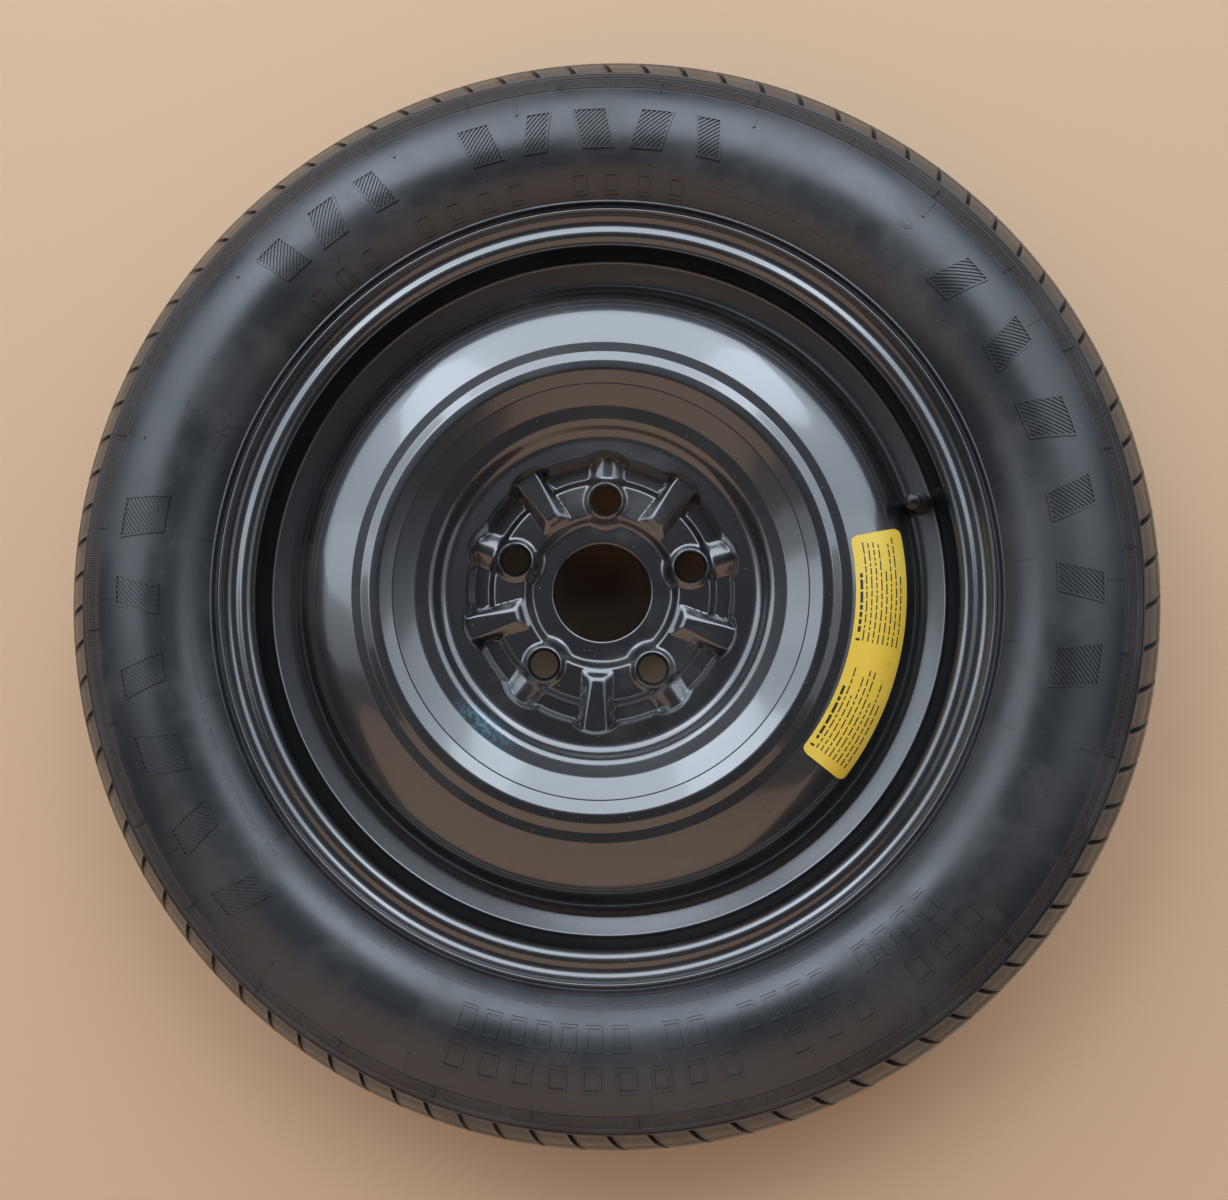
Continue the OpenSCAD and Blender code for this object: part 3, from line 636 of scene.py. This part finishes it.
def relief(r, angle, s):
    if r > 90.9:
        return BOWL_FLOOR - s
    bolt, rib = from_nearest(angle, 90), from_nearest(angle, 126)
    low = HUB_FACE - s
    ring = trim(RING_TOP - s, trim(low + (r - 43.5 - 0.46 * s) * 1.175,
                               low + (70.5 - 0.55 * s - r) * 1.567, 1), 1.6)
    top = merge(low, ring, 1.6)
    away = math.hypot(r * math.cos(bolt) - BOLT_R, r * math.sin(bolt))
    top = merge(top, trim(BOSS_TOP - s, BOSS_TOP - s - (away - 11 + 0.47 * s) * 1.2, 1.6), 2)
    if r * math.cos(bolt) > 60:
        top = merge(top, 39.2 - s - (r * math.sin(bolt)) ** 2 / (26 - 2 * s), 1.5)
    x, y = r * math.cos(rib), abs(r * math.sin(rib))
    if x > 40:
        half = 3.4 + 3.6 * min(1, max(0, (x - 52) / 28))
        steep = low + (10.6 - 0.79 * s - y) * 4.25
        bevel = 40.1 - s + (9.4 - 0.5 * s - y) * 3.9 / (9.4 - half)
        end = 38.7 - s + (x - 48 - 0.4 * s) * 0.883
        top = merge(top, trim(trim(steep, bevel, 1.5), trim(RIB_TOP - s, end, 2), 1.5), 1.6)
    wall = low + (r - recess_edge(angle) + 2.5 - 0.84 * s) * 5.8
    top = merge(top, trim(BOWL_FLOOR - s, wall, 5), 3)
    if r < BORE_R + BORE_ROUND and s == 0:
        top -= BORE_ROUND - math.sqrt(max(0, BORE_ROUND ** 2 - (BORE_R + BORE_ROUND - r) ** 2))
    return top


def ease(x):
    x = min(1.0, max(0.0, x))
    return x * x * (3 - 2 * x)


def spread(*parts):
    radii = []
    for first, last, n in parts:
        radii += [first + (last - first) * i / n for i in range(n)]
    return radii + [parts[-1][1]]


bowl_path = [(91, BOWL_FLOOR, 0), (96.52, BOWL_FLOOR, 10), (102.99, 56.5, 9), (112.52, 58.5, 8),
             (124.8, 63.65, 0.5), (125.5, 63.75, 0.5), (133.25, 67.2, 6), (138.75, 67.2, 5),
             (143.94, 65.4, 3), (149.96, 65.4, 4), (177.98, 59.5, 36), (195.45, 35.2, 16),
             (195.45, -12, 0)]


def pressed(radii, steps, s):
    sheet = bmesh.new()
    lathe(sheet, [(r, 0) for r in radii], steps, closed=False)
    for vert in sheet.verts:
        r, angle = math.hypot(vert.co.x, vert.co.y), math.atan2(vert.co.y, vert.co.x)
        pull = ease((r - 70.5) / 8) * ease((91 - r) / 7.5)
        r += (recess_edge(angle) - 82) * pull
        vert.co = Vector((r * math.cos(angle), r * math.sin(angle), relief(r, angle, s)))
    flat = bpy.data.meshes.new("pressed")
    sheet.to_mesh(flat)
    sheet.free()
    disc.from_mesh(flat)
    bpy.data.meshes.remove(flat)


disc = bmesh.new()
lathe(disc, rounded(bowl_path, 5) + rounded(beside(bowl_path, -4), 8)[::-1], 280, closed=False)
lathe(disc, [(BORE_R, 31), (BORE_R, 33.2)], 280, closed=False)
joined = []
for seam in disc.edges:
    mid = (seam.verts[0].co + seam.verts[1].co) / 2
    r = math.hypot(mid.x, mid.y)
    if seam.is_boundary and ((r > 90 and mid.z > 49) or (r < 31 and mid.z > 33)):
        joined.append(seam)
bmesh.ops.subdivide_edges(disc, edges=joined, cuts=1)
pressed(spread((BORE_R, 43, 4), (43, 49, 5), (49, 66, 12), (66, 71, 5), (71, 79, 5), (79, 87, 8),
               (87, 91, 3)), 280, 4)
pressed(spread((BORE_R, 31.85, 6), (31.85, 43, 7), (43, 48, 9), (48, 67, 23), (67, 71, 7),
               (71, 78.5, 8), (78.5, 83.5, 12), (83.5, 91, 8)), 560, 0)
bmesh.ops.remove_doubles(disc, verts=disc.verts, dist=0.03)
bmesh.ops.recalc_face_normals(disc, faces=disc.faces)
bolt_holes = bmesh.new()
for k in range(5):
    seen = set(bolt_holes.verts)
    lathe(bolt_holes, [(0, 24), (8.5, 24), (8.5, 39.6), (8.75, 40.3), (10.5, 42.05), (11.1, 42.3),
                       (11.4, 46), (0, 46)], 64, closed=False)
    bmesh.ops.translate(bolt_holes, verts=list(set(bolt_holes.verts) - seen),
                        vec=Matrix.Rotation(FIFTH * k, 3, "Z") @ Vector((0, BOLT_R, 0)))
bmesh.ops.remove_doubles(bolt_holes, verts=bolt_holes.verts, dist=0.001)
bmesh.ops.recalc_face_normals(bolt_holes, faces=bolt_holes.faces)
disc = cut_out(disc, bolt_holes)
bmesh.ops.holes_fill(disc, edges=[seam for seam in disc.edges if seam.is_boundary], sides=4)
made(disc, "wheel_disc", paint, stands_for=["disc"], crease=38)

# Weld beads: eight short beads on the inboard side, laid round the edge of the disc's flange and
# painted with the rest. The torch leaves each bead a little lumpy.
weld_paint, weld_tree, weld_bsdf = new_finish("painted_weld")
slag = placed_effect(weld_tree, cloudy, Scale=160.0, Detail=6.0, Low=0.45, High=0.6)
rust = placed_effect(weld_tree, cloudy, Scale=60.0, Detail=8.0, Low=0.58, High=0.70)
tint = blend_colour(weld_tree, sums(weld_tree, "MULTIPLY", rust, 0.6), (0.012, 0.012, 0.013, 1),
                    (0.10, 0.045, 0.022, 1))
weld_tree.links.new(tint, weld_bsdf.inputs["Base Color"])
weld_tree.links.new(graded(weld_tree, slag, 0, 1, 0.25, 0.55), weld_bsdf.inputs["Roughness"])
skin = put(weld_tree, "Bump", {"Height": placed_effect(weld_tree, peel, Scale=500.0, Fine=1400.0),
                               "Distance": 0.0004, "Strength": 0.7})
weld_tree.links.new(skin.outputs[0], weld_bsdf.inputs["Normal"])
BEAD_LONG = math.radians(22)
toe_r, toe_z = 195.4, -12.05
beads = bmesh.new()
for k in range(8):
    seen = set(beads.verts)
    ends = [beads.verts.new((r, 0, z)) for r, z in arc((toe_r, toe_z), 3.6, 180, 270, 15)
            + [(195.45, -12.1)]]
    loop = [beads.edges.new(pair) for pair in zip(ends, ends[1:] + ends[:1])]
    bmesh.ops.spin(beads, geom=ends + loop, cent=(0, 0, 0), axis=(0, 0, 1), dvec=(0, 0, 0),
                   angle=BEAD_LONG, steps=44, use_merge=False, use_normal_flip=False,
                   use_duplicate=False)
    bead = list(set(beads.verts) - seen)
    for vert in bead:
        angle = math.atan2(vert.co.y, vert.co.x)
        away = Vector((math.hypot(vert.co.x, vert.co.y) - toe_r, vert.co.z - toe_z))
        swell = 1 + 0.07 * math.sin(angle * 310) + 0.05 * math.sin(angle * 97 + k)
        fade = min(1, 0.35 + 6 * min(angle, BEAD_LONG - angle) / BEAD_LONG)
        r, z = toe_r + away.x * swell * fade, toe_z + away.y * swell * fade
        vert.co = Vector((r * math.cos(angle), r * math.sin(angle), z))
    bmesh.ops.rotate(beads, cent=(0, 0, 0), verts=bead,
                     matrix=Matrix.Rotation(math.radians(45 * k + 11.5), 3, "Z"))
bmesh.ops.holes_fill(beads, edges=beads.edges, sides=0)
bmesh.ops.recalc_face_normals(beads, faces=beads.faces)
made(beads, "weld_beads_laid", weld_paint, stands_for=["weld_beads"])

# Label: yellow plastic film stuck over the shoulder of the bowl, with its corners rounded. Rows of
# thin dark bars are printed where such a label carries its words.
film, film_tree, film_bsdf = new_finish("yellow_film")
faded = placed_effect(film_tree, cloudy, Scale=22.0, Detail=5.0, Low=0.35, High=0.7)
soot = placed_effect(film_tree, cloudy, Scale=120.0, Detail=9.0, Low=0.60, High=0.74)
speck = placed_effect(film_tree, dust, Scale=500.0, Size=0.16, Share=0.05)
tint = blend_colour(film_tree, faded, (0.91, 0.61, 0.060, 1), (0.95, 0.68, 0.11, 1))
tint = blend_colour(film_tree, sums(film_tree, "MULTIPLY", soot, 0.35), tint, (0.33, 0.24, 0.10, 1))
tint = blend_colour(film_tree, sums(film_tree, "MULTIPLY", speck, 0.6), tint, (0.10, 0.08, 0.05, 1))
film_tree.links.new(tint, film_bsdf.inputs["Base Color"])
film_tree.links.new(graded(film_tree, faded, 0, 1, 0.34, 0.46), film_bsdf.inputs["Roughness"])
skin = put(film_tree, "Bump", {"Height": placed_effect(film_tree, peel, Scale=90.0, Fine=500.0),
                               "Distance": 0.00008, "Strength": 0.5})
film_tree.links.new(skin.outputs[0], film_bsdf.inputs["Normal"])
ink, ink_tree, ink_bsdf = new_finish("label_ink")
worn = placed_effect(ink_tree, cloudy, Scale=900.0, Detail=4.0, Low=0.55, High=0.75)
ink_tree.links.new(blend_colour(ink_tree, sums(ink_tree, "MULTIPLY", worn, 0.5), (0.03, 0.022, 0.012, 1),
                                (0.30, 0.21, 0.05, 1)), ink_bsdf.inputs["Base Color"])
ink_tree.links.new(graded(ink_tree, worn, 0, 1, 0.35, 0.5), ink_bsdf.inputs["Roughness"])


def over_bowl(lift):
    line = rounded(beside(bowl_path, lift), 4)

    def height(r):
        for (r0, z0), (r1, z1) in zip(line, line[1:]):
            if r0 <= r <= r1:
                return z0 + (z1 - z0) * (r - r0) / max(1e-9, r1 - r0)
        return line[-1][1]
    return height


LABEL_R, LABEL_HALF_WIDE, CORNER = 168, 16, 4
LABEL_HALF_LONG = math.radians(25) * LABEL_R
label = bmesh.new()
bmesh.ops.create_grid(label, x_segments=120, y_segments=24, size=1)
film_under = over_bowl(0.05)
for vert in label.verts:
    along = vert.co.x * LABEL_HALF_LONG
    near_end = max(0.0, CORNER - (LABEL_HALF_LONG - abs(along)))
    half = LABEL_HALF_WIDE - (CORNER - math.sqrt(max(0.0, CORNER ** 2 - near_end ** 2)))
    r, angle = LABEL_R + vert.co.y * half, math.radians(-11) + along / LABEL_R
    vert.co = Vector((r * math.cos(angle), r * math.sin(angle), film_under(r)))
bmesh.ops.recalc_face_normals(label, faces=label.faces)
if sum(face.normal.z for face in label.faces) < 0:
    bmesh.ops.reverse_faces(label, faces=label.faces)
bmesh.ops.solidify(label, geom=label.faces[:], thickness=-0.3)
bmesh.ops.recalc_face_normals(label, faces=label.faces)
made(label, "label_film", film, stands_for=["label"])

FIRST_ROW = 155.6
print_marks = bmesh.new()
for first, last in ((-34.5, -12.8), (-9.6, 12.6)):
    dot(print_marks, first + 0.9, FIRST_ROW, 3.2, 0.02, -0.1)
    for row in range(9):
        r = FIRST_ROW + 3.05 * row
        tall = 1.9 if row == 0 else 0.95
        a = first + (2.3 if row == 0 else 0.6)
        stop = last - (5.5 if row == 0 else dice.choice((0.3, 0.5, 2.5, 7.0)))
        while a < stop:
            step = dice.uniform(3.0, 8.5)
            if a + math.degrees(step / r) > stop + 0.6:
                break
            mark(print_marks, a + math.degrees(step / 2 / r), r, 0, 0, step - 1.0, tall, 0, 0.02, -0.1)
            a += math.degrees(step / r)
wrap(print_marks, over_bowl(0.36))
made(print_marks, "label_print", ink, stands_for=["label"], crease=20)

# Valve: a rubber snap-in body pulled through the hole in the side of the well, a brass stem with
# its core bonded in it, and a screwed black plastic cap over a rubber washer.
valve_rubber, valve_tree, valve_bsdf = new_finish("valve_rubber")
cap_plastic, cap_tree, cap_bsdf = new_finish("cap_plastic")
brass, brass_tree, brass_bsdf = new_finish("valve_brass")
white, white_tree, white_bsdf = new_finish("white_plastic")
spring, spring_tree, spring_bsdf = new_finish("spring_steel")
for tree, bsdf, fresh, aged, smooth, rough, bump in (
        (valve_tree, valve_bsdf, (0.016, 0.017, 0.019), (0.045, 0.042, 0.040), 0.38, 0.62, 0.00010),
        (cap_tree, cap_bsdf, (0.010, 0.010, 0.011), (0.030, 0.029, 0.028), 0.20, 0.36, 0.00003),
        (brass_tree, brass_bsdf, (0.72, 0.50, 0.19), (0.42, 0.27, 0.11), 0.22, 0.42, 0.00002),
        (white_tree, white_bsdf, (0.78, 0.77, 0.73), (0.66, 0.63, 0.56), 0.35, 0.5, 0.00002),
        (spring_tree, spring_bsdf, (0.56, 0.56, 0.58), (0.40, 0.39, 0.38), 0.2, 0.36, 0.00001)):
    age = placed_effect(tree, cloudy, Scale=260.0, Detail=6.0, Low=0.42, High=0.68)
    tree.links.new(blend_colour(tree, age, (*fresh, 1), (*aged, 1)), bsdf.inputs["Base Color"])
    tree.links.new(graded(tree, age, 0, 1, smooth, rough), bsdf.inputs["Roughness"])
    skin = put(tree, "Bump", {"Height": placed_effect(tree, peel, Scale=700.0, Fine=2200.0),
                              "Distance": bump, "Strength": 0.6})
    tree.links.new(skin.outputs[0], bsdf.inputs["Normal"])
brass_bsdf.inputs["Metallic"].default_value = 1.0
spring_bsdf.inputs["Metallic"].default_value = 1.0
body_line = rounded([(1.5, -5.5, 0), (1.5, -7.5, 0), (7.6, -7.5, 1.5), (7.6, -2.55, 0.4), (5.7, -2.55, 0),
                     (5.7, 0.05, 0), (6.6, 0.05, 0), (6.6, 3.6, 0.8), (5.6, 5.6, 1.5), (5.2, 14, 8),
                     (4.85, 23, 1), (4.45, 24, 0.3), (3.87, 24, 0)], 12)
valve = bmesh.new()
lathe(valve, body_line + [(3.87, -5.5)], 96)
bmesh.ops.transform(valve, matrix=valve_place, verts=valve.verts)
made(valve, "valve_body_moulded", valve_rubber, stands_for=["valve_body"])

cap_line = rounded([(3.93, 34.02, 0), (3.93, 24.6, 0), (5, 24.6, 0.35), (5, 34.2, 1.2), (4.2, 35.6, 1),
                    (1.6, 36.6, 1.5), (0, 36.6, 0)], 12)
cap = bmesh.new()
lathe(cap, [(0, 34.02)] + cap_line, 192, closed=False)
bmesh.ops.remove_doubles(cap, verts=cap.verts, dist=0.001)
for vert in cap.verts:
    r = math.hypot(vert.co.x, vert.co.y)
    if r > 4.4 and 24.9 < vert.co.z < 34.0:
        dip = 0.3 * (0.5 - 0.5 * math.cos(16 * math.atan2(vert.co.y, vert.co.x))) ** 2
        vert.co.x *= 1 - dip / r
        vert.co.y *= 1 - dip / r
bmesh.ops.recalc_face_normals(cap, faces=cap.faces)
bmesh.ops.transform(cap, matrix=valve_place, verts=cap.verts)
made(cap, "valve_cap_moulded", cap_plastic, body="valve_cap", stands_for=["valve_cap"])
for node, finish in (("valve_stem", brass), ("core_plug", brass), ("core_barrel", brass),
                     ("core_pin", brass), ("core_gasket", white), ("core_spring", spring),
                     ("core_cup", valve_rubber), ("cap_seal", valve_rubber)):
    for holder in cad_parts[node].material_slots:
        holder.material = finish
